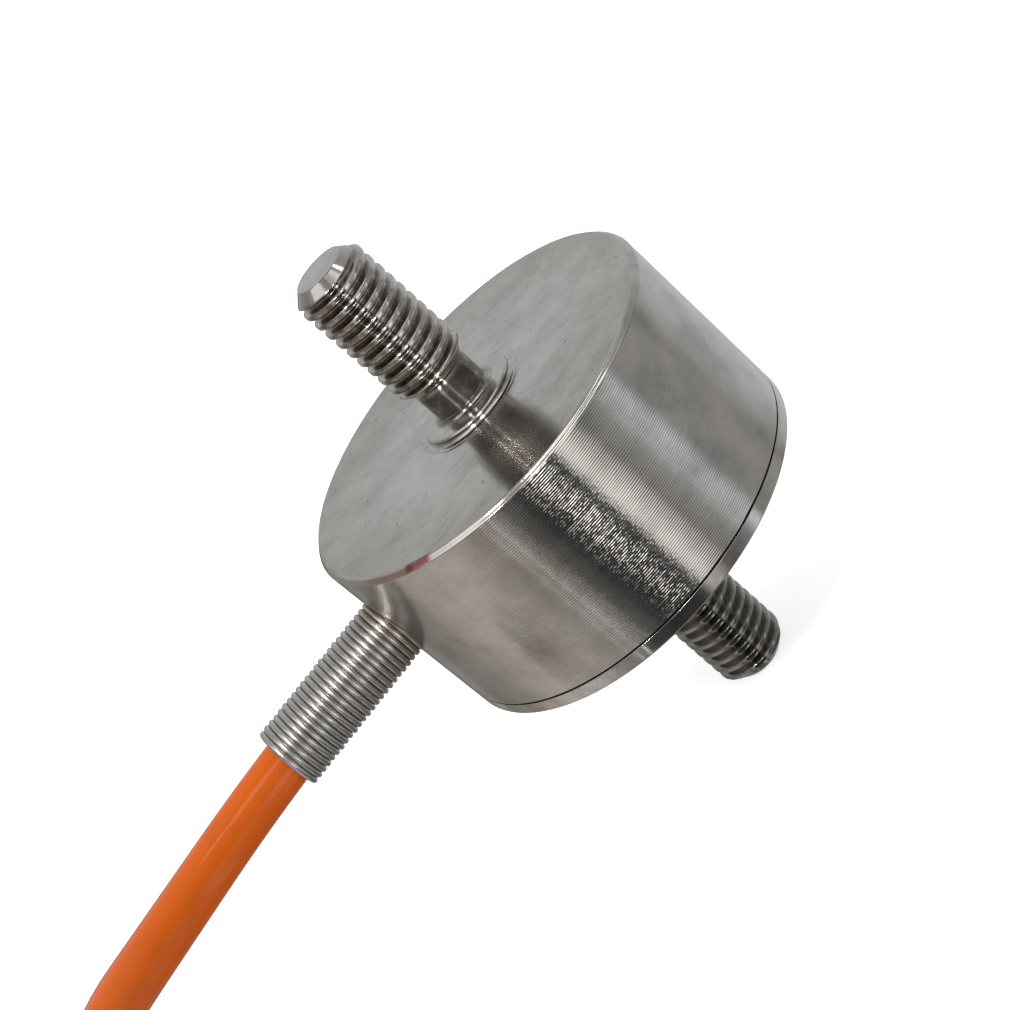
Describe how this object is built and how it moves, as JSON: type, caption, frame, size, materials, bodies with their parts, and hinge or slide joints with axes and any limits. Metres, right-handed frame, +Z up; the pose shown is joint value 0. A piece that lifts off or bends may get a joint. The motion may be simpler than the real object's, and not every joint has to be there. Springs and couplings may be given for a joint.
{
  "type": "miniature load cell",
  "caption": "Miniature round tension and compression load cell with threaded studs at both ends and a side cable with a spring strain relief.",
  "frame": {"origin": "centre of the cover's underside, where the lower stud starts", "axes": "+Z up the load axis towards the upper stud; the cable leaves the case along -X"},
  "size_m": [0.105, 0.0545, 0.0368],
  "materials": {
    "turned_steel": "fine turned, satin ends",
    "spring_steel": "bright drawn wire",
    "cable_jacket": "smooth orange jacket",
    "black_sleeve": "shrink sleeve",
    "tie": "hook and loop strap",
    "seal": "moulded",
    "crimp": "turned",
    "gauge_foil": "amber film with a foil grid",
    "board": "green lacquer",
    "resistor": "ceramic chip with tinned ends",
    "tin": "bright solder",
    "copper": "enamelled fine wire",
    "core_red": "smooth",
    "core_black": "smooth",
    "core_green": "smooth",
    "core_white": "smooth"
  },
  "bodies": {
    "root": {"elastic_body": "turned_steel", "base_cover": "turned_steel", "strain_gauge_1": "gauge_foil", "strain_gauge_2": "gauge_foil", "strain_gauge_3": "gauge_foil", "strain_gauge_4": "gauge_foil", "gauge_wires_1": "copper", "gauge_wires_2": "copper", "gauge_wires_3": "copper", "gauge_wires_4": "copper", "bridge_board": "board", "balance_resistor": "resistor", "span_resistor": "resistor", "temperature_resistor": "resistor", "solder_joints": "tin", "lead_red": "core_red", "lead_black": "core_black", "lead_green": "core_green", "lead_white": "core_white", "cable_washer": "seal", "crimp_ring": "crimp", "relief_spring": "spring_steel", "cable_run": "cable_jacket", "cable_coil": "cable_jacket", "cable_tail": "cable_jacket", "coil_tie": "tie", "end_sleeve": "black_sleeve", "core_red": "core_red", "core_black": "core_black", "core_green": "core_green", "core_white": "core_white", "core_tips": "tin", "shield_tail": "tin"}
  },
  "joints": []
}
